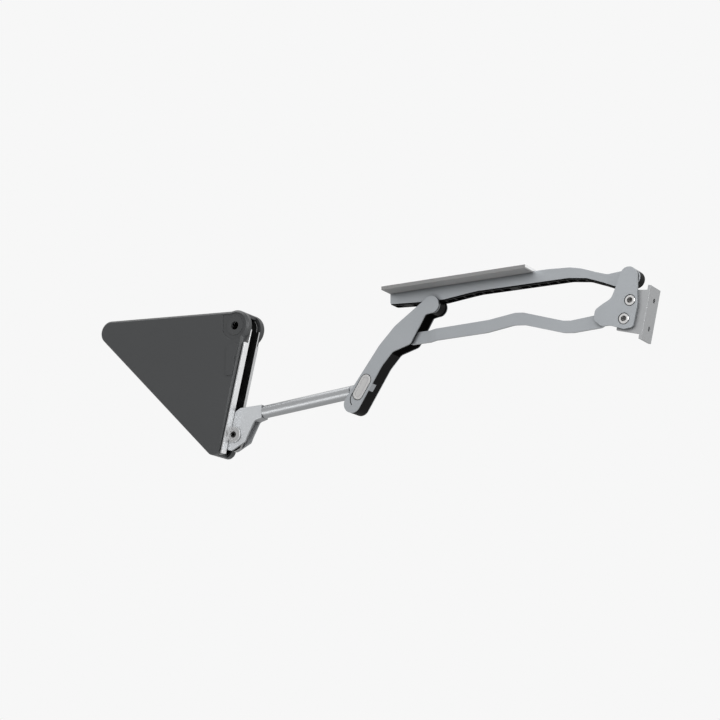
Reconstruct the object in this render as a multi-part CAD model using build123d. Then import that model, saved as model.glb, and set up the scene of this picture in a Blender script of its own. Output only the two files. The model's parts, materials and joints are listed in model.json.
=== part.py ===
from build123d import *
import os
from math import atan2, cos, degrees, hypot, radians, sin, tan

# Folding lift fitting for a two-leaf flap door, right-hand side, door open.
# Sizes are in millimetres. Every piece is drawn in the side view of the
# fitting: x runs forward out of the cabinet, y runs up, and z runs from the
# side panel towards the middle of the cabinet. The zero point is the fixing
# hole at the top front corner of the housing, on the side panel.

# Pivots, each measured from the one before it
crank_behind = 4.0              # crank pivot behind and below the fixing hole
crank_below = 102.0
tube_reach = 138.0              # lever pivot in front of the crank pivot
tube_rise = 29.0
lever_reach = 70.0              # arm pivot in front of the lever pivot
lever_rise = 67.0
link_back = 21.0                # link pivot behind and below the arm pivot
link_drop = 27.0
arm_reach = 189.0               # door pivot in front of the arm pivot
arm_drop = 1.0

# Layers across the fitting, measured from the side panel
mid_layer = 14.0                # middle of crank, tube, lever and arm
housing_depth = 28.0
shell_depth = 6.4               # the rest of the housing depth is the cover
shell_wall = 2.4
cheek_gap = 12.0
cheek_thickness = 1.5
inner_flange = 7.5
outer_flange = 4.0
crank_width = 11.0
crank_wall = 2.0
lever_gap = 13.0
core_wall = 1.3
skin = 0.9                      # silver cover on the far side of the lever
near_skin = 1.4                 # and on the near side
arm_width = 11.6
arm_skin = 1.5
layer_gap = 0.4                 # between neighbours that slide past each other
link_thickness = 3.0
link_inside = 1.0               # link end to the near wall of the lever
plate_thickness = 3.0

# Housing
lobe_radius = 15.0
housing_length = 174.0
housing_rise = 24.8             # back corner above the fixing hole
housing_drop = 127.9
neck_reach = 7.8                # a point on the leaning front edge
neck_drop = 17.0
front_lean = 13.2               # front edge from upright, in degrees
back_corner = 11.0
low_corner = 8.0
rim_bevel = 2.0
fixing_hole = 4.5
fixing_passage = 8.0
passage_ring = 18.0
fixing_pitch = 64.0             # two pitches back and one down to the others
fixing_pad = 11.0
shield_radius = 13.5
recess_depth = 0.8
arch_height = 0.8               # raised panel under the boss
slope_start = (-48.7, -36.8)    # the cover slopes gently away below this line
slope_lean = -36.3
slope_angle = 1.5
cheek_proud = 3.5
cheek_band = 18.0
cheek_foot = 17.0               # inner cheek below the crank pivot
ear_radius = 7.2
spacer_size = 6.5
spacer_inset = 10.0
spacer_stud = 4.0
cover_screw = 3.0
cover_post = 7.0

# Pins and tube
crank_pin = 6.0
pin_eye = 3.0
tube_diameter = 12.0
tube_bore = 9.4
tube_angle = 5.1
post_size = 8.0
post_bore = 5.4
arm_pin = 7.0
link_pin = 5.0
door_pin = 7.0
running_gap = 0.05              # radial, pin in its bore
open_pivot_gap = 0.3            # radial, at the pivot that closes the four bars

# Cam, roller and spring
cam_angle = 135.6               # spring axis in the side view
cam_small = 9.0
cam_large = 15.0
cam_swing = 115.0
cam_thickness = 2.8
cam_hub = 12.0
rivet_size = 3.0
roller_size = 10.0
roller_pin = 3.0
roller_gap = 0.3
fork_wall = 1.5
fork_gap = 0.3
carriage_start = 24.0
carriage_length = 14.0
carriage_height = 17.0
carriage_width = 11.2
rod_size = 5.0
rod_start = 30.2
rod_end = 162.0
seat_start = 148.0
seat_thickness = 5.0
spring_coil = 15.2              # mean diameter of the coil
spring_wire = 2.4
spring_turns = 12

# Lever
top_radius = 7.8
end_radius = 8.3
end_back = 10.3                 # centre of the round end from the lever pivot
end_drop = 14.0
web_thickness = 1.0
button_length = 24.4
button_width = 10.0
button_gap = 0.6
button_thickness = 1.4
button_proud = 0.6
button_dish = 0.3               # shallow recess in its face
button_stem = 5.0
stem_length = 2.0
button_travel = 1.6
pocket_wall = 1.0
pocket_floor = 1.2
pocket_depth = 2.2              # pocket below the near wall of the lever
knuckle_size = 10.8
knuckle_reach = 15.6
spigot_length = 18.0
clip_width = 7.0                # tab of the near cover on the lower front edge
clip_depth = 7.5
clip_thickness = 0.5
groove_radius = 8.8
groove_width = 0.9

# Upper arm and its base
arm_top = 17.0                  # top of the arm above the arm pivot
arm_back = 42.4                 # back end of the arm behind the arm pivot
arm_end_radius = 7.5
arm_shell = 1.4
rib_pitch = 9.0
rib_thickness = 1.2
base_length = 141.0
base_thickness = 2.5
base_strip = 16.6               # width of the strip beside the arm
base_hole = 4.5
base_head = 7.6
outer_pitch = 96.0
inner_pitch = 32.0
cap_thickness = 1.2
cap_lip = 1.2                   # its edge that wraps the base plate
cap_gap = 0.4
arm_screw = 3.5
arm_screw_length = 8.0

# Link
link_width = 10.4
link_eye = 11.6
joggle_start = 18.0             # from the lower pivot
joggle_length = 8.0

# Door plate and its foot on the lower leaf
door_lean = 13.0                # lower leaf from upright, in degrees
plate_top = 15.0
foot_thickness = 2.5
foot_start = 6.0
foot_length = 46.0
foot_depth = 21.6               # from the door plate towards the side panel
foot_hole = 4.2
foot_hole_pitch = 24.0
tab_thickness = 3.0
ring_size = 8.8
ring_socket = 5.0
socket_depth = 4.8
ring_height = 1.3
ring_recess = 1.0
ring_thread = 6.0
ring_length = 6.0
spacer_diameter = 10.0

# Places that follow from the sizes above
crank = (-crank_behind, -crank_below)
knee = (crank[0] + tube_reach, crank[1] + tube_rise)
elbow = (knee[0] + lever_reach, knee[1] + lever_rise)
link_low = (elbow[0] - link_back, elbow[1] - link_drop)
door = (elbow[0] + arm_reach, elbow[1] - arm_drop)
link_high = (link_low[0] + arm_reach, link_low[1] - arm_drop)
door_face = arm_top + base_thickness + arm_drop

cheek_near = mid_layer + cheek_gap / 2
cheek_far = mid_layer - cheek_gap / 2
crank_near = mid_layer + crank_width / 2
crank_far = mid_layer - crank_width / 2
gap_near = mid_layer + lever_gap / 2
gap_far = mid_layer - lever_gap / 2
core_near = gap_near + core_wall
core_far = gap_far - core_wall
skin_near = core_near + near_skin
skin_far = core_far - skin
pocket_low = gap_near - pocket_depth
arm_near = mid_layer + arm_width / 2
arm_far = mid_layer - arm_width / 2
arm_split = arm_near - arm_skin
link_far = arm_near + layer_gap
link_near = link_far + link_thickness
link_in_near = gap_near - link_inside
link_in_far = link_in_near - link_thickness
plate_far = link_near + layer_gap
plate_near = plate_far + plate_thickness

side_view = Plane(origin=(0, 0, 0), x_dir=(0, -1, 0), z_dir=(-1, 0, 0)).location
pieces = {}


def keep(name, shape):
    pieces[name] = side_view * shape


def slab(sketch, low, high):
    return Pos(0, 0, low) * extrude(sketch, amount=high - low, dir=(0, 0, 1))


def disc(place, diameter, low, high):
    return slab(Pos(place[0], place[1]) * Circle(diameter / 2), low, high)


def outline(pivot, points, radii):
    placed = [(pivot[0] + x, pivot[1] + y) for x, y in points]
    return make_face(FilletPolyline(*placed, radius=radii, close=True))


def area(*points):
    return Polygon(*points, align=None)


def along(place, angle, distance, aside=0.0):
    turn = radians(angle)
    return (place[0] + distance * cos(turn) - aside * sin(turn),
            place[1] + distance * sin(turn) + aside * cos(turn))


def rod(start, angle, length, diameter, layer=mid_layer):
    # a round bar lying in the side view
    ahead = (cos(radians(angle)), sin(radians(angle)), 0)
    return extrude(Plane(origin=(start[0], start[1], layer), z_dir=ahead) * Circle(diameter / 2),
                   amount=length)


def coil(height, turns, diameter, wire):
    path = Helix(pitch=height / turns, height=height, radius=diameter / 2)
    return sweep(Plane(origin=path @ 0, z_dir=path % 0) * Circle(wire / 2), path=path)


# Housing

def front_edge(y, out=0.0):
    return neck_reach + (y + neck_drop) * tan(radians(front_lean)) + out


def in_front(back):
    top = lobe_radius + 10
    low = -housing_drop - 20
    return area((front_edge(top, -back), top), (front_edge(low, -back), low), (90, low), (90, top))


def housing_outline(inset=0.0):
    corner = -crank_behind
    body = outline((0, 0), [(corner, lobe_radius - 0.6), (-housing_length, housing_rise),
                            (front_edge(-housing_drop), -housing_drop), (front_edge(-5.5), -5.5)],
                   [0, back_corner, low_corner, 0])
    whole = body + Circle(lobe_radius)
    return offset(whole, amount=-inset) if inset else whole


def fixing_places():
    return [(-2 * fixing_pitch, 0.0), (-fixing_pitch, -fixing_pitch)]


def cover_screw_places():
    return {"rear": (-138.0, 12.0), "front": (-40.0, -20.0), "lower": (-34.0, -104.0)}


def seat_pocket(grow):
    centre = along(crank, cam_angle, seat_start + seat_thickness / 2)
    return Pos(*centre) * Rot(0, 0, cam_angle) * Rectangle(seat_thickness + 2 * grow, 14 + 2 * grow)


def wall_shell():
    body = slab(housing_outline(), 0, shell_depth)
    body -= slab(housing_outline(shell_wall), shell_wall, shell_depth + 1)
    for place in fixing_places():
        body += disc(place, fixing_pad, 0, shell_wall + 0.8)
        body -= disc(place, fixing_hole, -1, shell_depth)
    body += disc((0, 0), passage_ring - 2, 0, cheek_far - cheek_thickness)
    body -= disc((0, 0), fixing_hole, -1, shell_depth + 1)
    body -= disc((0, 0), fixing_passage, shell_wall, shell_depth + 1)
    for place in cover_screw_places().values():
        body += disc(place, cover_post, 0, shell_depth)
        body -= disc(place, cover_screw + 0.4, -1, shell_depth + 1)
        body -= disc(place, cover_screw * 2, -1, 2)
    body += slab(seat_pocket(2.0), shell_wall / 2, shell_depth)
    body -= slab(seat_pocket(0.0), shell_wall, shell_depth + 1)
    return body


def cover_shell():
    full = housing_depth
    body = slab(housing_outline(), shell_depth, full)
    body = chamfer(body.faces().sort_by(Axis.Z)[-1].edges(), rim_bevel)
    body -= slab(housing_outline(shell_wall), shell_depth - 1, full - shell_wall)
    for place in cover_screw_places().values():
        body += disc(place, cover_post, shell_depth, full - shell_wall + 0.2)
        body -= disc(place, cover_screw, shell_depth - 1, full - shell_wall - 4)
    body -= slab(in_front(4.5), shell_depth - 1, cheek_near + cheek_thickness)
    edge = housing_outline(rim_bevel + 0.8)
    shield = Circle(shield_radius) + Pos(-6.5, 4) * Rectangle(14, 16)
    body -= slab(shield & edge, full - recess_depth, full + 1)
    body += disc((0, 0), passage_ring, full - recess_depth - 0.2, full - 0.2)
    body -= disc((0, 0), fixing_passage, 0, full + 1)
    arch = Pos(-1.2, -23.5) * Circle(7.0) + Pos(-4.2, -35) * Rectangle(9.0, 24)
    body += slab(arch & edge, full - 0.3, full + arch_height)
    slope = Pos(slope_start[0], slope_start[1], full) * Rot(0, 0, slope_lean) * Rot(slope_angle, 0, 0)
    body -= slope * Box(3 * housing_length, housing_length, 10, align=(Align.CENTER, Align.MAX, Align.MIN))
    return body


def cheek_outline(foot):
    top = -4.0
    low = crank[1] - foot
    band = area((front_edge(top, cheek_proud), top), (front_edge(top, cheek_proud - cheek_band), top),
                (front_edge(low, cheek_proud - cheek_band), low), (front_edge(low, cheek_proud), low))
    band = band & (housing_outline(shell_wall + 0.4) + in_front(4.3))
    return band + Circle(lobe_radius - 3.4) + Pos(*crank) * Circle(ear_radius)


def cheek(low, high, flange_low, flange_high, foot):
    plate = slab(cheek_outline(foot), low, high)
    top = -neck_drop
    foot = crank[1] - foot
    strip = area((front_edge(top, cheek_proud), top), (front_edge(top, cheek_proud - 1.4), top),
                 (front_edge(foot, cheek_proud - 1.4), foot), (front_edge(foot, cheek_proud), foot))
    plate += slab(strip, flange_low, flange_high)
    plate -= disc(crank, crank_pin, low - 1, high + 1)
    plate -= disc((0, 0), fixing_passage + 4, low - 1, high + 1)
    for place in spacer_places().values():
        plate -= disc(place, spacer_stud, low - 1, high + 1)
    return plate


def spacer_places():
    return {"upper": (front_edge(-32, -spacer_inset), -32.0), "lower": (front_edge(-64, -spacer_inset), -64.0)}


def build_housing():
    near_face = cheek_near + cheek_thickness
    far_face = cheek_far - cheek_thickness
    keep("wall_shell", wall_shell())
    keep("cover_shell", cover_shell())
    keep("inner_cheek", cheek(cheek_near, near_face, cheek_near, cheek_near + inner_flange, cheek_foot))
    keep("outer_cheek", cheek(far_face, cheek_far, cheek_far - outer_flange, cheek_far, ear_radius + 1))
    for name, place in spacer_places().items():
        stay = disc(place, spacer_size, cheek_far, cheek_near)
        stay += disc(place, spacer_stud, far_face, near_face)
        keep("spacer_" + name, stay)
    bush = disc((0, 0), fixing_passage + 4, far_face, near_face)
    bush += disc((0, 0), fixing_passage + 8, cheek_far, cheek_near)
    bush -= disc((0, 0), fixing_passage, 0, housing_depth)
    keep("fixing_bush", bush)
    pin = disc(crank, crank_pin, far_face, near_face)
    pin -= disc(crank, pin_eye, near_face - 3, near_face + 1)
    keep("crank_pin", pin)
    for name, place in cover_screw_places().items():
        screw = disc(place, cover_screw, 0.4, housing_depth - shell_wall - 6)
        screw += disc(place, cover_screw * 2 - 0.4, 0.4, 2)
        screw -= slab(Pos(*place) * Rectangle(3.6, 0.8), 0, 1.2)
        screw -= slab(Pos(*place) * Rectangle(0.8, 3.6), 0, 1.2)
        keep("cover_screw_" + name, screw)


# Spring unit

def spring_point(distance, aside=0.0):
    return along(crank, cam_angle, distance, aside)


def build_spring():
    roller_out = cam_small + roller_gap + roller_size / 2
    centre = spring_point(roller_out)
    fork_in = cam_thickness / 2 + fork_gap
    fork_out = fork_in + fork_wall
    roller = disc(centre, roller_size, mid_layer - cam_thickness / 2, mid_layer + cam_thickness / 2)
    keep("cam_roller", roller - disc(centre, roller_pin + 2 * running_gap, 0, housing_depth))
    keep("roller_pin", disc(centre, roller_pin, mid_layer - fork_out, mid_layer + fork_out))

    turn = Pos(*crank) * Rot(0, 0, cam_angle)
    nose = Pos((roller_out + carriage_start) / 2, 0) * Rectangle(carriage_start - roller_out, 2 * roller_pin)
    nose = turn * (nose + Pos(roller_out, 0) * Circle(roller_pin))
    block = turn * Pos(carriage_start + carriage_length / 2, 0) * Rectangle(carriage_length, carriage_height)
    half = carriage_width / 2
    carriage = slab(block, mid_layer - half, mid_layer + half)
    carriage += slab(nose, mid_layer - fork_out, mid_layer - fork_in)
    carriage += slab(nose, mid_layer + fork_in, mid_layer + fork_out)
    carriage -= disc(centre, roller_pin, 0, housing_depth)
    carriage -= rod(spring_point(carriage_start - 1), cam_angle, carriage_length + 2, rod_size + 0.2)
    keep("spring_carriage", carriage)
    keep("spring_rod", rod(spring_point(rod_start), cam_angle, rod_end - rod_start, rod_size))

    seat = rod(spring_point(seat_start), cam_angle, seat_thickness, carriage_height)
    seat += slab(seat_pocket(0.0), shell_wall, mid_layer)
    seat -= rod(spring_point(seat_start - 1), cam_angle, seat_thickness + 2, rod_size)
    keep("spring_seat", seat)

    begin = spring_point(carriage_start + carriage_length + spring_wire / 2 + 0.1)
    height = seat_start - carriage_start - carriage_length - spring_wire - 0.2
    ahead = (cos(radians(cam_angle)), sin(radians(cam_angle)), 0)
    frame = Plane(origin=(begin[0], begin[1], mid_layer), z_dir=ahead)
    keep("main_spring", frame.location * coil(height, spring_turns, spring_coil, spring_wire))


# Crank and tube

def cam_edge(angle):
    # the roller stands off the cam by the same gap all the way round
    rise = (cam_large - cam_small) / radians(cam_swing)
    turn = radians(angle)
    stand = roller_size / 2 + roller_gap
    pitch = cam_small + stand + rise * (turn - radians(cam_angle))
    slope_x = rise * cos(turn) - pitch * sin(turn)
    slope_y = rise * sin(turn) + pitch * cos(turn)
    size = hypot(slope_x, slope_y)
    return (crank[0] + pitch * cos(turn) - stand * slope_y / size,
            crank[1] + pitch * sin(turn) + stand * slope_x / size)


def rivet_places():
    return {"low": (crank[0] + 8.5, crank[1] + 9.5), "high": (crank[0] + 15.5, crank[1] + 16.5)}


def build_crank():
    x, y = crank
    half = tube_diameter / 2
    front = 29.5
    tube_y = tube_rise - (tube_reach - front) * tan(radians(tube_angle))
    shape = outline(crank, [(-6, -16), (11.8, -7.3), (14, -2.5), (21.6, 11.3), (front, tube_y - half),
                            (front, tube_y + half), (6, 24.6), (-9, 16), (-12, -4)],
                    [5, 2.5, 3, 4, 0, 0, 4, 8, 8])
    body = slab(shape, crank_far, crank_near)
    room = area((x - 40, y + 12), (x - 4, y + 21), (x + 22, y + 22.5), (x + 22, y + 9), (x + 12, y - 12),
                (x + 12, y - 40), (x - 40, y - 40))
    body -= slab(room, crank_far + crank_wall, crank_near - crank_wall)
    joint = along(knee, 180 + tube_angle, (tube_reach - front) / cos(radians(tube_angle)))
    body -= rod(joint, tube_angle, 10, tube_diameter)
    body += rod(joint, tube_angle, spigot_length, tube_bore - 0.1)
    body -= disc(crank, crank_pin + 2 * running_gap, 0, housing_depth)
    for place in rivet_places().values():
        body -= disc(place, rivet_size, 0, housing_depth)
    keep("crank", body)

    steps = 24
    first = cam_angle - 5
    last = cam_angle + cam_swing + 5
    curve = Spline(*[cam_edge(first + (last - first) * n / steps) for n in range(steps + 1)])
    back = Polyline(cam_edge(last), along(crank, last + 30, 13), along(crank, last + 65, 9),
                    along(crank, 10, 8), along(crank, 60, 8), along(crank, 100, 8), cam_edge(first))
    half_cam = cam_thickness / 2
    cam = slab(make_face(curve + back), mid_layer - half_cam, mid_layer + half_cam)
    tail = rivet_places()["high"]
    hub = make_hull((Pos(*crank) * Circle(cam_hub / 2)).edges() + (Pos(*tail) * Circle(3.6)).edges())
    cam += slab(hub, crank_far + crank_wall, crank_near - crank_wall)
    cam -= disc(crank, crank_pin + 2 * running_gap, 0, housing_depth)
    for name, place in rivet_places().items():
        cam -= disc(place, rivet_size, 0, housing_depth)
        keep("cam_rivet_" + name, disc(place, rivet_size, crank_far, crank_near))
    keep("cam_plate", cam)

    tube_length = (tube_reach - front) / cos(radians(tube_angle)) - knuckle_reach
    tube = rod(joint, tube_angle, tube_length, tube_diameter)
    tube -= rod(along(joint, 180 + tube_angle, 1), tube_angle, tube_length + 2, tube_bore)
    keep("lift_tube", tube)

    flat = pocket_low - 0.3
    low = gap_far + 0.5
    end = along(knee, 180 + tube_angle, knuckle_reach)
    bar = rod(end, tube_angle, knuckle_reach - 5, tube_diameter)
    bar = bar & (Pos(end[0], end[1], (low + flat) / 2) * Box(60, 60, flat - low))
    knuckle = disc(knee, knuckle_size, low, flat) + bar
    knuckle += rod(along(end, 180 + tube_angle, spigot_length), tube_angle, spigot_length, tube_bore - 0.1)
    knuckle -= disc(knee, post_size + 2 * running_gap, 0, housing_depth)
    keep("tube_knuckle", knuckle)


# Lever

def beside(place, right, up):
    return (place[0] + right, place[1] + up)


def on_lever(share, right, up):
    # a share of the way down from the arm pivot to the lever pivot
    return beside(elbow, right - share * lever_reach, up - share * lever_rise)


def lever_outline(grow=0.0):
    shape = outline((0, 0), [beside(elbow, -4.4, 6.0), on_lever(0.4, -8.2, 11.6), on_lever(0.6, -10, 9.4),
                             beside(knee, -16.8, -8.8), beside(knee, -3.8, -19.2), on_lever(0.7, -1, -3.1),
                             beside(link_low, -17.8, -11.2), beside(link_low, 0.4, -6.2),
                             beside(elbow, -5.6, -8.6), beside(elbow, 1.6, -7.4)],
                    [0, 30, 30, 0, 0, 20, 7, 6, 2, 0])
    shape += Pos(*elbow) * Circle(top_radius)
    shape += Pos(*beside(knee, -end_back, -end_drop)) * Circle(end_radius)
    return offset(shape, amount=grow) if grow else shape


def limb_angle():
    # the lower limb of the lever, which the button lies along
    return degrees(atan2(0.3 * lever_rise + 16.1, 0.3 * lever_reach + 2.8))


def button_shape(grow=0.0):
    return Pos(*knee) * SlotOverall(button_length + 2 * grow, button_width + 2 * grow, rotation=limb_angle())


def clip():
    rim = lever_outline(clip_thickness) - lever_outline()
    place = along(knee, limb_angle(), 4.0, -7.5)
    window = Pos(*place) * Rot(0, 0, limb_angle()) * Rectangle(clip_width, 6)
    return slab(rim & window, skin_near - clip_depth, skin_near)


def front_web():
    # closes the channel along the lower front edge and round its end
    region = area(beside(link_low, -21, -11), beside(link_low, -9, -23), beside(knee, 20, -43),
                  beside(knee, -40, -43), beside(knee, -34, -10), beside(knee, -10, -11), beside(knee, 4, 3))
    return (lever_outline() - lever_outline(-web_thickness)) & region


def build_lever():
    walls = lever_outline()
    core = slab(walls, core_far, gap_far) + slab(walls, gap_near, core_near)
    core += slab(front_web(), gap_far, gap_near)
    core += slab(button_shape(button_gap + pocket_wall), pocket_low, gap_near)
    core -= slab(button_shape(button_gap), pocket_low + pocket_floor, core_near + 1)
    core -= disc(elbow, arm_pin, 0, 40)
    core -= disc(link_low, link_pin, 0, 40)
    core -= disc(knee, post_size, 0, pocket_low + pocket_floor + 1)
    keep("lever_core", core)

    near = slab(lever_outline(), core_near, skin_near)
    near -= slab(button_shape(button_gap), core_near - 1, skin_near + 1)
    middle = beside(knee, -3.5, -10.5)
    ring = Pos(*middle) * (Circle(groove_radius) - Circle(groove_radius - groove_width))
    sector = area(middle, along(middle, 125, 30), along(middle, 170, 30), along(middle, 215, 30))
    near -= slab(ring & sector, core_near - 1, skin_near + 1)
    keep("lever_inner_cover", near + clip())
    keep("lever_outer_cover", slab(lever_outline(), skin_far, core_far))

    well = gap_far + 1.0
    cap_low = skin_near + button_proud - button_thickness
    post = disc(knee, post_size, core_far, cap_low - button_travel - 0.1)
    keep("lever_post", post - disc(knee, post_bore, well, skin_near))
    keep("arm_pivot_pin", disc(elbow, arm_pin, core_far, core_near))
    keep("link_pivot_pin", disc(link_low, link_pin, core_far, core_near))
    sleeve = disc(link_low, link_pin + 3, gap_far, link_in_far - 0.2)
    keep("link_sleeve", sleeve - disc(link_low, link_pin, 0, 40))

    cap_high = cap_low + button_thickness
    button = slab(button_shape(), cap_low, cap_high)
    button = fillet(button.faces().sort_by(Axis.Z)[-1].edges(), 0.5)
    button -= slab(button_shape(-2.2), cap_high - button_dish, cap_high + 1)
    button += disc(knee, button_stem, cap_low - stem_length, cap_low)
    keep("release_button", button)
    wire = 0.7
    height = cap_low - stem_length - button_travel - well - wire - 0.2
    keep("button_spring", Pos(knee[0], knee[1], well + wire / 2 + 0.1) * coil(height, 6, 3.6, wire))


# Upper arm with its base on the upper door leaf

def arm_outline(drop=0.0):
    far = arm_reach
    low = [(far - 7, -7 - drop), (far - 14.5, -7.1 - drop), (far - 25.4, -2.2 - drop), (far - 40.7, 3.9 - drop),
           (far - 57.7, 6.4 - drop), (45, 7 - drop), (36, 6.3 - drop), (10, 3.7 - drop), (-16.9, 4.9 - drop),
           (1.6 - arm_back, 6.6 - drop), (-arm_back, 7.3 - drop)]
    top = [(-arm_back, arm_top), (far - 77, arm_top), (far - 56, arm_top - 1.4), (far - 45.6, arm_top - 3.8),
           (far - 32, 8), (far - 22, 4.6), (far - 7, 5.6)]
    shape = outline(elbow, top + low, [0, 20, 14, 14, 10, 10, 0, 0, 6, 14, 14, 20, 8, 8, 14, 30, 1, 0.5])
    shape += Pos(*door) * Circle(arm_end_radius)
    return shape + Pos(*elbow) * Circle(top_radius - 0.6)


def arm_screw_places():
    start = elbow[0] - arm_back
    return {"rear": start + 15.4, "front": start + base_length - 20.6}


def base_rows():
    middle = elbow[0] - arm_back + base_length / 2
    return [middle + side * pitch / 2 for pitch in (outer_pitch, inner_pitch) for side in (-1, 1)]


def upright(x, layer, diameter, low, high):
    return extrude(Plane(origin=(x, low, layer), z_dir=(0, 1, 0)) * Circle(diameter / 2), amount=high - low)


def countersink(x, layer, hole, head, face, out):
    # out is 1 for a head that opens upwards and -1 for one that opens downwards
    depth = (head - hole) / 2
    tip = Plane(origin=(x, face - out * depth, layer), z_dir=(0, out, 0))
    return tip.location * Cone(hole / 2, head / 2, depth, align=(Align.CENTER, Align.CENTER, Align.MIN))


def build_arm():
    x, y = elbow
    top = y + arm_top
    base_top = top + base_thickness
    screw_layer = (arm_far + arm_split) / 2
    shape = arm_outline(1.0)
    body = slab(shape, arm_far, arm_split)
    room = offset(shape, amount=-1.8)
    room = room + (Pos(0, -3) * room)
    room -= Pos(*elbow) * Circle(top_radius + 1.5)
    room -= Pos(*door) * Circle(arm_end_radius + 10)
    for screw_x in arm_screw_places().values():
        room -= Pos(screw_x, y) * Rectangle(8, 80)
    for n in range(1, int((arm_reach + arm_back) // rib_pitch)):
        room -= Pos(x - arm_back + n * rib_pitch, y) * Rectangle(rib_thickness, 80)
    body -= slab(room, arm_far + arm_shell, arm_split - arm_shell)
    for place, size in ((elbow, arm_pin), (door, door_pin)):
        body -= disc(place, size + 2 * running_gap, 0, 40)

    face = slab(arm_outline(), arm_split, arm_near)
    face -= disc(elbow, arm_pin + 2 * running_gap, 0, 40)
    keep("arm_cover", face - disc(door, door_pin + 2 * running_gap, 0, 40))

    middle = x - arm_back + base_length / 2
    plate = slab(Pos(middle, top + base_thickness / 2) * Rectangle(base_length, base_thickness),
                 arm_far, arm_near + base_strip - cap_lip)
    hole_layer = arm_near + base_strip / 2
    for hole_x in base_rows():
        plate -= upright(hole_x, hole_layer, base_hole, top - 1, base_top + 1)
        plate -= countersink(hole_x, hole_layer, base_hole, base_head, top, -1)
    for name, screw_x in arm_screw_places().items():
        cut = upright(screw_x, screw_layer, arm_screw, base_top - arm_screw_length, base_top)
        cut += countersink(screw_x, screw_layer, arm_screw, 2 * arm_screw, base_top, 1)
        plate -= cut
        body -= cut
        slot = Pos(screw_x, base_top, screw_layer) * Box(5, 1.6, 0.9)
        keep("arm_screw_" + name, cut - slot)
    keep("arm_core", body)
    keep("base_plate", plate)
    strip = slab(Pos(middle, top - cap_thickness / 2) * Rectangle(base_length, cap_thickness),
                 arm_near + cap_gap, arm_near + base_strip)
    low = top - cap_thickness
    high = base_top - cap_gap
    strip += slab(Pos(middle, (low + high) / 2) * Rectangle(base_length, high - low),
                  arm_near + base_strip - cap_lip, arm_near + base_strip)
    keep("base_cap", strip)


# Link

def build_link():
    x, y = elbow
    half = link_width / 2
    start = link_low[0] + joggle_start
    end = start + joggle_length
    centre = link_low[1] - 1.0
    far = arm_reach
    shape = outline((0, 0), [(end, centre + half), (x + 0.302 * far, y - 21.7), (x + 0.434 * far, y - 18.7),
                             (x + 0.476 * far, y - 19.4), (x + 0.672 * far, y - 31.5),
                             (x + 0.709 * far, y - 32.4), beside(link_high, -12, -2.8),
                             beside(link_high, -3.6, 4.6), beside(link_high, 5, -3),
                             beside(link_high, -5, -13.9), (x + 0.72 * far, y - 43),
                             (x + 0.672 * far, y - 41.9), (x + 0.481 * far, y - 30.3),
                             (x + 0.429 * far, y - 29.3), (x + 0.291 * far, y - 32.6), (end, centre - half)],
                    [0, 30, 10, 14, 14, 10, 4, 0, 0, 6, 12, 14, 14, 12, 30, 0])
    body = slab(shape + Pos(*link_high) * Circle(link_eye / 2), link_far, link_near)
    eye = Pos(*link_low) * Circle(link_eye / 2)
    run = Pos((link_low[0] + start) / 2, centre) * Rectangle(start - link_low[0], link_width)
    body += slab(eye + run, link_in_far, link_in_near)
    bend = make_face(Plane.XZ * Polyline((start, link_in_far), (end, link_far), (end, link_near),
                                         (start, link_in_near), close=True))
    body += Pos(0, centre + half, 0) * extrude(bend, amount=link_width, dir=(0, -1, 0))
    body -= disc(link_low, link_pin + 2 * running_gap, 0, 60)
    keep("link", body - disc(link_high, link_pin + 2 * open_pivot_gap, 0, 60))


# Door plate and its foot on the lower door leaf

def leaf(out, down):
    return along(door, -door_lean, out, -down)


def ring_places():
    return {"upper": (door[0] + 0.6, door[1] - 21.7), "lower": (door[0] - 5.4, door[1] - 36.8)}


def foot_screw_places():
    centre = foot_start + foot_length / 2
    return [centre - foot_hole_pitch / 2, centre + foot_hole_pitch / 2]


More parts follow.
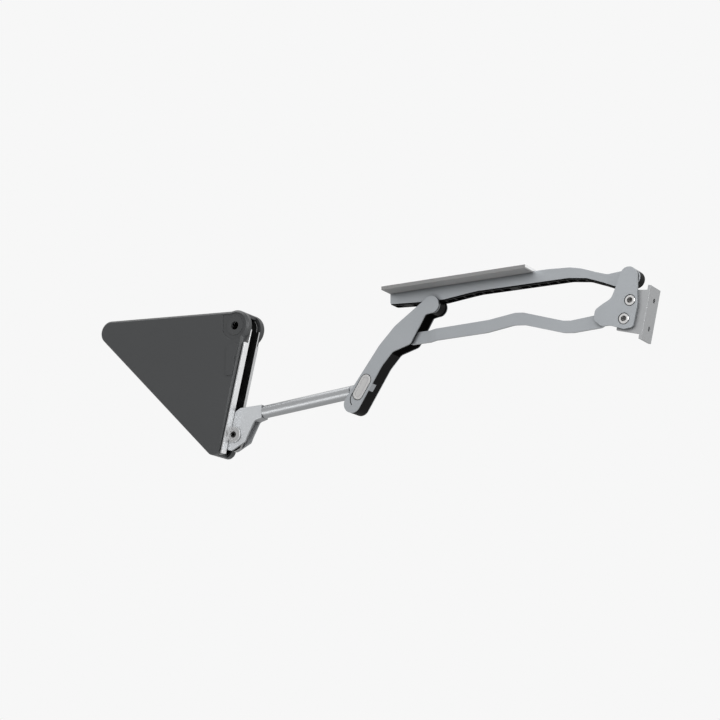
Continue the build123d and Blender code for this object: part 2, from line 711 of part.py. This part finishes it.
def build_door_plate():
    shape = outline(door, [(7.4, 1.5), (7.2, -26), (2.4, -45), (-5.8, -45.7), (-18.8, -40.6), (-26, -40.6),
                           (-32.4, -34.5), (-31.2, -26), (-24, -21.8), (-16.2, -18), (-11.8, -9), (-7, 2)],
                    [0, 30, 3, 6, 8, 4, 5, 6, 8, 8, 8, 0])
    shape += Pos(*door) * Circle(plate_top / 2)
    plate = slab(shape, plate_far, plate_near)
    for place in ring_places().values():
        plate -= disc(place, ring_size + 1.4, plate_near - ring_recess, plate_near + 1)
        plate -= disc(place, ring_thread, plate_far - 1, plate_near + 1)
    plate -= disc(door, door_pin, plate_far - 1, plate_near - 0.8)
    plate -= disc(link_high, link_pin, plate_far - 1, plate_near - 0.8)
    keep("door_plate", plate)
    keep("door_pivot_pin", disc(door, door_pin, arm_far, plate_near - 0.8))
    spacer = disc(door, spacer_diameter, arm_near + 0.2, plate_far)
    keep("door_spacer", spacer - disc(door, door_pin, 0, 60))
    pin = disc(link_high, link_pin, link_far - 1.4, plate_near - 0.8)
    keep("link_end_pin", pin + disc(link_high, link_pin + 3, link_far - 1.6, link_far - 0.3))

    foot = slab(area(leaf(door_face, foot_start), leaf(door_face, foot_start + foot_length),
                     leaf(door_face - foot_thickness, foot_start + foot_length),
                     leaf(door_face - foot_thickness, foot_start)), plate_far - foot_depth, plate_far)
    tab = area(leaf(door_face, foot_start + 4), leaf(door_face, foot_start + 42), leaf(-3, foot_start + 41),
               leaf(-3, foot_start + 24), leaf(0, foot_start + 6))
    foot += slab(tab, plate_far - tab_thickness, plate_far)
    for down in foot_screw_places():
        place = leaf(door_face - foot_thickness - 1, down)
        foot -= rod(place, -door_lean, foot_thickness + 2, foot_hole, plate_far - foot_depth / 2 - 1.5)
    for name, place in ring_places().items():
        foot -= disc(place, ring_thread, 0, 60)
        base = plate_near - ring_recess
        ring = disc(place, ring_size, base, base + ring_height)
        ring = chamfer(ring.faces().sort_by(Axis.Z)[-1].edges(), 0.3)
        ring += disc(place, ring_thread, base - ring_length, base)
        ring -= disc(place, ring_socket, base - socket_depth, base + ring_height + 1)
        keep("ring_screw_" + name, ring)
    keep("door_foot", foot)


build_housing()
build_spring()
build_crank()
build_lever()
build_arm()
build_link()
build_door_plate()

os.makedirs("parts", exist_ok=True)
for name, shape in pieces.items():
    export_step(shape, "parts/" + name + ".step")
    print(name, round(shape.volume, 1), len(shape.solids()))
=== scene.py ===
import json
from math import cos, radians, sin
import bmesh
import bpy
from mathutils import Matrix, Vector


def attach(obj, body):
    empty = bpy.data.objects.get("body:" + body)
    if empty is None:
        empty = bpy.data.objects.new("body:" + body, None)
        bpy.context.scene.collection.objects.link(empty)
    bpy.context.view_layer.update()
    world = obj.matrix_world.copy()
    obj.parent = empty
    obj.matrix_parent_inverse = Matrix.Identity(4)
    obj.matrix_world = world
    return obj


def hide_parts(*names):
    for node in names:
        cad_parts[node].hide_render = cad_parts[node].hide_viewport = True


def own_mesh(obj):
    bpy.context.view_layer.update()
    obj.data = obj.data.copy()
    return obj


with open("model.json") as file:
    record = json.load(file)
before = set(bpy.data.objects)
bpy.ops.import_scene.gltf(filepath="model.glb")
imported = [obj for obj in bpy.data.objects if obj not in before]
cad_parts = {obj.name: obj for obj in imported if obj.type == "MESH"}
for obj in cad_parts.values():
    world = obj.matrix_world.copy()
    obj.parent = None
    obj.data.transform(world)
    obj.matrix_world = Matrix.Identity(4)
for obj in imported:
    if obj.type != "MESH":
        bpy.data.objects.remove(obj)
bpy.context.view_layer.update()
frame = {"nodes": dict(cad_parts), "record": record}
nodes = frame["nodes"]
behaviour = frame["record"]["behaviour"]
bodyOf = {node: body for body, members in behaviour["bodies"].items() for node in members}
scene = bpy.context.scene
print("frame loaded:", len(nodes), "nodes")


# Shader maths is written as plain expressions on fields

class Field:
    # wraps a socket, so that an expression on fields adds its Math nodes
    def __init__(self, owner, socket):
        self.owner = owner
        self.socket = socket

    def __add__(self, other):
        return self.owner.maths("ADD", self, other)

    def __radd__(self, other):
        return self.owner.maths("ADD", other, self)

    def __sub__(self, other):
        return self.owner.maths("SUBTRACT", self, other)

    def __rsub__(self, other):
        return self.owner.maths("SUBTRACT", other, self)

    def __mul__(self, other):
        return self.owner.maths("MULTIPLY", self, other)

    def __rmul__(self, other):
        return self.owner.maths("MULTIPLY", other, self)


class NodeTree:
    def __init__(self, tree):
        self.tree = tree

    def node(self, kind, settings=None, sockets=None):
        # the settings come first, because some of them change the sockets
        made = self.tree.nodes.new(kind)
        for key, value in (settings or {}).items():
            setattr(made, key, value)
        for key, value in (sockets or {}).items():
            self.feed(made.inputs[key], value)
        return made

    def feed(self, socket, value):
        if isinstance(value, Field):
            value = value.socket
        if isinstance(value, bpy.types.NodeSocket):
            self.tree.links.new(value, socket)
        else:
            socket.default_value = value

    def maths(self, operation, first, second):
        made = self.node("ShaderNodeMath", {"operation": operation}, {0: first, 1: second})
        return Field(self, made.outputs[0])

    def seenInstead(self, lit, seen, output, share=1.0):
        # lit gives light and shadow, seen is what the camera and reflections get
        rays = self.node("ShaderNodeLightPath").outputs
        looking = Field(self, rays["Is Camera Ray"])
        for kind in ("Is Glossy Ray", "Is Transmission Ray"):
            looking = self.maths("MAXIMUM", looking, rays[kind])
        blend = self.node("ShaderNodeMixShader", None,
                          {0: looking * share, 1: lit.outputs[0], 2: seen.outputs[0]})
        self.feed(output.inputs["Surface"], blend.outputs[0])


class Shader(NodeTree):
    def __init__(self, name, **fixed):
        self.material = bpy.data.materials.new(name)
        self.material.use_nodes = True
        super().__init__(self.material.node_tree)
        self.surface = self.tree.nodes["Principled BSDF"]
        for key, value in fixed.items():
            self.surface.inputs[key.replace("_", " ")].default_value = value

    def place(self, turn, stretch):
        # object coordinates, turned in the side view and then stretched
        spot = self.node("ShaderNodeTexCoord").outputs["Object"]
        turned = self.node("ShaderNodeVectorRotate", {"rotation_type": "X_AXIS"},
                           {"Vector": spot, "Angle": turn})
        long = self.node("ShaderNodeVectorMath", {"operation": "MULTIPLY"},
                         {0: turned.outputs[0], 1: stretch})
        return long.outputs[0]

    def noise(self, scale, detail, turn=0.0, stretch=(1, 1, 1)):
        made = self.node("ShaderNodeTexNoise", None,
                         {"Vector": self.place(turn, stretch), "Scale": scale, "Detail": detail})
        return Field(self, made.outputs["Fac"])

    def mix(self, amount, first, second):
        # sockets 6 and 7 are the colour pair of a Mix node
        made = self.node("ShaderNodeMix", {"data_type": "RGBA"}, {0: amount, 6: first, 7: second})
        return made.outputs[2]

    def geometryNormal(self):
        return self.node("ShaderNodeNewGeometry").outputs["Normal"]

    # lighter edges that stand for both wear and a painted highlight
    def wornEdgeHighlight(self, radius, samples=6):
        # 0 on the flat, towards 1 where the surface turns sharply
        softened = self.node("ShaderNodeBevel", {"samples": samples}, {"Radius": radius}).outputs[0]
        across = self.node("ShaderNodeVectorMath", {"operation": "DOT_PRODUCT"},
                           {0: softened, 1: self.geometryNormal()})
        return 1.0 - Field(self, across.outputs["Value"])

    def openness(self, reach, samples=8):
        # 1 in the open, near 0 deep in a gap or a socket
        made = self.node("ShaderNodeAmbientOcclusion", {"samples": samples}, {"Distance": reach})
        return Field(self, made.outputs["AO"])

    # the mask for painted shade that follows the way a face turns
    def sideways(self):
        # 1 on the broad side faces, 0 on the cut edges around them
        across = self.node("ShaderNodeSeparateXYZ", None, {0: self.geometryNormal()}).outputs[0]
        return Field(self, across) * Field(self, across)

    def bump(self, height, distance):
        made = self.node("ShaderNodeBump", None, {"Height": height, "Distance": distance})
        self.feed(self.surface.inputs["Normal"], made.outputs[0])

    def colour(self, value):
        self.feed(self.surface.inputs["Base Color"], value)

    def roughness(self, value):
        self.feed(self.surface.inputs["Roughness"], value)


def grey(level, warmth=0.0):
    return (level + warmth, level, level - warmth, 1.0)


def toned(base, gain, lift=0.0):
    return [min(1.0, part * gain + lift) for part in base[:3]] + [1.0]


black = grey(0.0)
paintedGapTone = 0.04  # painted shade: what is left of a colour deep in a gap
grainDetail = 2.0
# the clouds give random tone; the edge lightening is part wear and part painted highlight
metalWearAndHighlight = {"cloudScale": 38.0, "cloudDetail": 3.0, "wearHighlightRadius": 0.0006, "wearHighlightGain": 1.45,
             "wearHighlightLift": 0.05}
plasticWearAndHighlight = {"cloudScale": 24.0, "cloudDetail": 2.0, "wearHighlightRadius": 0.0005, "wearHighlightGain": 1.5,
               "wearHighlightLift": 0.03, "smudge": 0.08, "grainGloss": 0.06}


def metalFinish(name, base, roughness, metallic=1.0, grainTurn=0.0, grainStretch=(1, 1, 1),
                grainScale=2600.0, grain=0.04, smudge=0.05, edge=0.35, depth=0.000003,
                shade=0.85, reach=0.004, rim=1.0, side=1.0):
    # sheet or cast metal: fine grain, soft smudges, a brighter edge that is part wear and part
    # painted highlight, and painted shade in gaps
    made = Shader(name, Metallic=metallic)
    fine = made.noise(grainScale, grainDetail, grainTurn, grainStretch)
    cloud = made.noise(metalWearAndHighlight["cloudScale"], metalWearAndHighlight["cloudDetail"])
    tone = made.mix(fine * 0.5 + cloud * 0.5, toned(base, 1 - grain), toned(base, 1 + grain))
    # part wear, part painted highlight: sharp edges turn lighter
    wornHighlight = made.wornEdgeHighlight(metalWearAndHighlight["wearHighlightRadius"]) * edge
    bright = made.mix(wornHighlight, tone, toned(base, metalWearAndHighlight["wearHighlightGain"], metalWearAndHighlight["wearHighlightLift"]))
    if rim != side:  # painted shade: cut edges and side faces get their own darkening by the way they face
        bright = made.mix(made.sideways() * (side - rim) + rim, black, bright)
    # painted shade: the colour darkens towards the gap tone where occlusion finds other surfaces
    # close by
    paintedGapShade = (1.0 - made.openness(reach)) * shade
    made.colour(made.mix(paintedGapShade, bright, toned(base, paintedGapTone)))
    made.roughness(roughness + (cloud - 0.5) * smudge + (fine - 0.5) * grain)
    made.bump(fine, depth)
    return made.material


def plasticFinish(name, base, roughness, grainScale=2400.0, depth=0.000006, variation=0.04,
                  edge=0.2, gloss=0.5, shade=0.8, reach=0.004):
    # moulded plastic or paint with a fine grain, a lighter edge that is part wear and part painted
    # highlight, and painted shade in gaps
    made = Shader(name, Metallic=0.0, Specular_IOR_Level=gloss)
    fine = made.noise(grainScale, grainDetail)
    cloud = made.noise(plasticWearAndHighlight["cloudScale"], plasticWearAndHighlight["cloudDetail"])
    tone = made.mix(cloud, toned(base, 1 - variation), toned(base, 1 + variation))
    # part wear, part painted highlight: sharp edges turn lighter
    wornHighlight = made.wornEdgeHighlight(plasticWearAndHighlight["wearHighlightRadius"]) * edge
    bright = made.mix(wornHighlight, tone, toned(base, plasticWearAndHighlight["wearHighlightGain"], plasticWearAndHighlight["wearHighlightLift"]))
    # painted shade: the colour darkens towards the gap tone where occlusion finds other surfaces
    # close by
    paintedGapShade = (1.0 - made.openness(reach)) * shade
    made.colour(made.mix(paintedGapShade, bright, toned(base, paintedGapTone)))
    made.roughness(roughness + (cloud - 0.5) * plasticWearAndHighlight["smudge"]
                   + (fine - 0.5) * plasticWearAndHighlight["grainGloss"])
    made.bump(fine, depth)
    return made.material


# shade and reach set the painted shade in gaps; edge sets the edge lightening, part wear and part
# painted highlight; rim and side set the painted shade on cut edges and side faces
metals = {
    "satinSilver": {"base": grey(0.34, -0.016), "roughness": 0.38, "metallic": 0.7, "edge": 0.5,
                    "rim": 0.85},
    "castSilver": {"base": grey(0.50, -0.014), "roughness": 0.40, "metallic": 0.75, "edge": 0.05,
                   "shade": 0.2, "rim": 0.5},
    "flangeSteel": {"base": grey(0.80, -0.006), "roughness": 0.34, "metallic": 0.8, "edge": 0.1,
                    "shade": 0.3, "side": 0.45},
    # painted shade: the outer cheek's side faces are made near black, so the gap between the cheeks
    # reads dark
    "cheekSteel": {"base": grey(0.5, -0.004), "roughness": 0.4, "metallic": 0.8, "edge": 0.1,
                   "shade": 1.0, "reach": 0.012, "side": 0.05},
    "footSteel": {"base": grey(0.32, -0.006), "roughness": 0.42, "metallic": 0.8},
    "tubeSteel": {"base": grey(0.33, -0.008), "roughness": 0.40, "grainTurn": radians(5.1),
                  "grainStretch": (1, 0.02, 1), "grainScale": 900.0, "grain": 0.03, "depth": 0.0},
    "pinSteel": {"base": grey(0.45), "roughness": 0.32},
    "pinBlack": {"base": grey(0.03), "roughness": 0.4, "edge": 0.1},
    "screwZinc": {"base": grey(0.58, 0.004), "roughness": 0.28},
    "camSteel": {"base": grey(0.3), "roughness": 0.3},
    "springWire": {"base": grey(0.32, 0.004), "roughness": 0.28},
}
# shade and reach set the painted shade in gaps; edge sets the edge lightening, part wear and part
# painted highlight
plastics = {
    "coverGrey": {"base": grey(0.041, -0.0015), "roughness": 0.38, "edge": 0.8, "gloss": 0.35,
                  "shade": 0.12},
    "shellGrey": {"base": grey(0.030, -0.0015), "roughness": 0.46, "edge": 0.3, "gloss": 0.35,
                  "shade": 1.0, "reach": 0.012},
    "bossBlack": {"base": grey(0.006), "roughness": 0.4, "edge": 0.05, "gloss": 0.15},
    "blackPaint": {"base": grey(0.0022), "roughness": 0.5, "edge": 0.03, "gloss": 0.05},
    "ribBlack": {"base": grey(0.004), "roughness": 0.5, "edge": 0.0, "gloss": 0.05, "shade": 1.0,
                 "reach": 0.01},
    "capGrey": {"base": grey(0.20), "roughness": 0.5, "gloss": 0.3},
    "buttonGrey": {"base": grey(0.42, 0.002), "roughness": 0.45, "variation": 0.01, "depth": 0.0,
                   "gloss": 0.3},
    "slideBlack": {"base": grey(0.012), "roughness": 0.45, "gloss": 0.2, "shade": 1.0, "reach": 0.01},
}
finishes = {name: metalFinish(name, **values) for name, values in metals.items()}
finishes.update({name: plasticFinish(name, **values) for name, values in plastics.items()})

wearers = {
    "coverGrey": ["cover_shell"],
    "shellGrey": ["wall_shell"],
    "bossBlack": ["fixing_bush"],
    "slideBlack": ["spring_seat", "spring_carriage"],
    "flangeSteel": ["inner_cheek", "base_plate"],
    "cheekSteel": ["outer_cheek"],
    "castSilver": ["crank", "cam_rivet_low", "cam_rivet_high", "tube_knuckle"],
    "camSteel": ["cam_plate", "cam_roller"],
    "tubeSteel": ["lift_tube"],
    "satinSilver": ["lever_inner_cover", "lever_outer_cover", "arm_cover", "link", "door_plate"],
    "blackPaint": ["lever_core"],
    "ribBlack": ["arm_core"],
    "buttonGrey": ["release_button"],
    "capGrey": ["base_cap"],
    "footSteel": ["door_foot"],
    "springWire": ["main_spring", "button_spring"],
    "pinBlack": ["crank_pin"],
    "pinSteel": ["spacer_upper", "spacer_lower", "spring_rod", "roller_pin", "lever_post",
                 "arm_pivot_pin", "link_pivot_pin", "link_sleeve", "door_pivot_pin", "door_spacer",
                 "link_end_pin"],
    "screwZinc": ["cover_screw_rear", "cover_screw_front", "cover_screw_lower", "arm_screw_rear",
                  "arm_screw_front", "ring_screw_upper", "ring_screw_lower"],
}
finishOf = {node: finish for finish, members in wearers.items() for node in members}


def dress(piece, node):
    piece.data.materials.clear()
    piece.data.materials.append(finishes[finishOf[node]])


for name, piece in nodes.items():
    dress(piece, name)
print("finishes set:", len(finishes))


# Pieces with eased edges stand for the sharp-edged nodes

easedValues = {
    "edgeWidth": {"lever_inner_cover": 0.00030, "lever_outer_cover": 0.00030, "arm_cover": 0.00045,
                  "link": 0.00050, "door_plate": 0.00045, "crank": 0.00045, "base_cap": 0.00025,
                  "door_foot": 0.00035, "inner_cheek": 0.00014, "outer_cheek": 0.00022,
                  "base_plate": 0.00030, "cover_shell": 0.00065, "release_button": 0.00012,
                  "lever_core": 0.00025},
    "rimWidth": {"cover_shell": 0.0014},
    "mergeWithin": 0.000002,
    "flatAngle": radians(0.6), "bevelAngle": radians(35), "smoothAngle": radians(38),
    "frontNormal": -0.95, "slantNormal": (-0.85, -0.5),  # x parts of the normals at the rim
}


def isRim(edge):
    # where the broad front face meets the slanted rim around it
    if len(edge.link_faces) != 2 or not edge.is_convex:
        return False
    front, slanted = sorted(face.normal.x for face in edge.link_faces)
    low, high = easedValues["slantNormal"]
    return front < easedValues["frontNormal"] and low < slanted < high


def placed(mesh, name, node):
    # a new piece that stands for a node, rides on its body and takes its slot
    piece = bpy.data.objects.new(name, mesh)
    scene.collection.objects.link(piece)
    dress(piece, node)
    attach(piece, bodyOf[node])
    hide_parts(node)
    return piece


def rounded(shape, edges, width, segments, profile):
    bmesh.ops.bevel(shape, geom=edges, offset=width, segments=segments, profile=profile,
                    affect="EDGES", clamp_overlap=True)


def easedPiece(name, width, rimWidth):
    shape = bmesh.new()
    shape.from_mesh(nodes[name].data)
    bmesh.ops.remove_doubles(shape, verts=shape.verts, dist=easedValues["mergeWithin"])
    bmesh.ops.dissolve_limit(shape, angle_limit=easedValues["flatAngle"], verts=shape.verts,
                             edges=shape.edges)
    if rimWidth:
        rim = [edge for edge in shape.edges if isRim(edge)]
        rounded(shape, rim, rimWidth, segments=3, profile=0.5)
    sharp = [edge for edge in shape.edges
             if len(edge.link_faces) == 2 and edge.calc_face_angle() > easedValues["bevelAngle"]]
    rounded(shape, sharp, width, segments=2, profile=0.6)
    for face in shape.faces:
        face.smooth = True
    mesh = bpy.data.meshes.new(name + "Eased")
    shape.to_mesh(mesh)
    shape.free()
    mesh.set_sharp_from_angle(angle=easedValues["smoothAngle"])
    piece = placed(mesh, name + "Eased", name)
    level = piece.modifiers.new("level", "WEIGHTED_NORMAL")  # keeps the large flats evenly shaded
    level.keep_sharp = True
    level.weight = 100
    graph = bpy.context.evaluated_depsgraph_get()
    piece.data = bpy.data.meshes.new_from_object(piece.evaluated_get(graph))
    piece.modifiers.clear()


for name, width in easedValues["edgeWidth"].items():
    easedPiece(name, width, easedValues["rimWidth"].get(name, 0.0))
print("eased pieces:", len(easedValues["edgeWidth"]))


# The main spring gets its own copy of the coil, measured along the carriage's slide

coilValues = {"node": "main_spring", "joint": "carriage_travel"}
slide = next(joint for joint in behaviour["joints"] if joint["name"] == coilValues["joint"])
along = Vector(slide["axis"]).normalized()
coilMesh = nodes[coilValues["node"]].data.copy()
heights = [vertex.co.dot(along) for vertex in coilMesh.vertices]
coilLength = max(heights) - min(heights)
coil = placed(coilMesh, "mainSpringCoil", coilValues["node"])
1 - slide["range_m"][1] / coilLength
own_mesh(coil)
print("main spring squashes:", round(coilLength, 4))


# Studio: pale floor and backdrop light, camera at the photographed angle

floorValues = {"height": -1.2, "reach": 30.0, "tone": 0.80, "cloudScale": 3.0, "cloudDetail": 3.0,
               "cloudTone": 0.98, "roughness": 0.9, "glow": 1.0, "glowShare": 0.65}
skyValues = {"ambient": 0.32, "background": 0.93}
cameraValues = {"target": (-0.016, -0.128, -0.046), "azimuth": 30.0, "rise": 13.5,
                "distance": 1.80, "lens": 100.0, "sensor": 36.0, "clipStart": 0.05}
lamps = {
    "front": {"place": (-0.5, -2.2, 0.35), "size": 1.5, "power": 50.0},
    "side": {"place": (-1.9, -0.7, 0.9), "size": 1.4, "power": 20.0},
    "rearLow": {"place": (-1.29, 0.87, -0.90), "size": 0.9, "power": 8.0},  # streak along the tube
    "top": {"place": (-0.2, 0.5, 1.7), "size": 1.2, "power": 12.0},
}

reach = floorValues["reach"]
floorMesh = bpy.data.meshes.new("floor")
corners = [(-reach, -reach, 0), (reach, -reach, 0), (reach, reach, 0), (-reach, reach, 0)]
floorMesh.from_pydata(corners, [], [(0, 1, 2, 3)])
floor = bpy.data.objects.new("floor", floorMesh)
floor.location.z = floorValues["height"]
scene.collection.objects.link(floor)
floorShade = Shader("floorPale", Roughness=floorValues["roughness"])
floorCloud = floorShade.noise(floorValues["cloudScale"], floorValues["cloudDetail"])
floorShade.colour(floorShade.mix(floorCloud, grey(floorValues["tone"] * floorValues["cloudTone"]),
                                 grey(floorValues["tone"])))
floorGlow = floorShade.node("ShaderNodeEmission", None, {"Color": grey(floorValues["glow"])})
floorShade.seenInstead(floorShade.surface, floorGlow, floorShade.tree.nodes["Material Output"],
                       floorValues["glowShare"])
floorMesh.materials.append(floorShade.material)

world = bpy.data.worlds.new("studio")
scene.world = world
world.use_nodes = True
sky = NodeTree(world.node_tree)
sky.tree.nodes.clear()
skyLit, skySeen = (sky.node("ShaderNodeBackground", None, {"Color": grey(skyValues[key])})
                   for key in ("ambient", "background"))
sky.seenInstead(skyLit, skySeen, sky.node("ShaderNodeOutputWorld"))

target = Vector(cameraValues["target"])
for name, lamp in lamps.items():
    offset = Vector(lamp["place"])
    light = bpy.data.lights.new(name, "AREA")
    light.energy = lamp["power"]
    light.size = lamp["size"]
    holder = bpy.data.objects.new(name, light)
    holder.location = target + offset
    holder.rotation_euler = (-offset).to_track_quat("-Z", "Y").to_euler()
    scene.collection.objects.link(holder)

turn = radians(cameraValues["azimuth"])
rise = radians(cameraValues["rise"])
ahead = Vector((cos(rise) * cos(turn), cos(rise) * sin(turn), sin(rise)))
camera = bpy.data.cameras.new("camera")
camera.lens = cameraValues["lens"]
camera.sensor_width = cameraValues["sensor"]
camera.clip_start = cameraValues["clipStart"]
eye = bpy.data.objects.new("camera", camera)
eye.location = target - ahead * cameraValues["distance"]
eye.rotation_euler = ahead.to_track_quat("-Z", "Y").to_euler()
scene.collection.objects.link(eye)
scene.camera = eye
scene.view_settings.view_transform = "Standard"
print("studio ready")

bpy.context.view_layer.update()
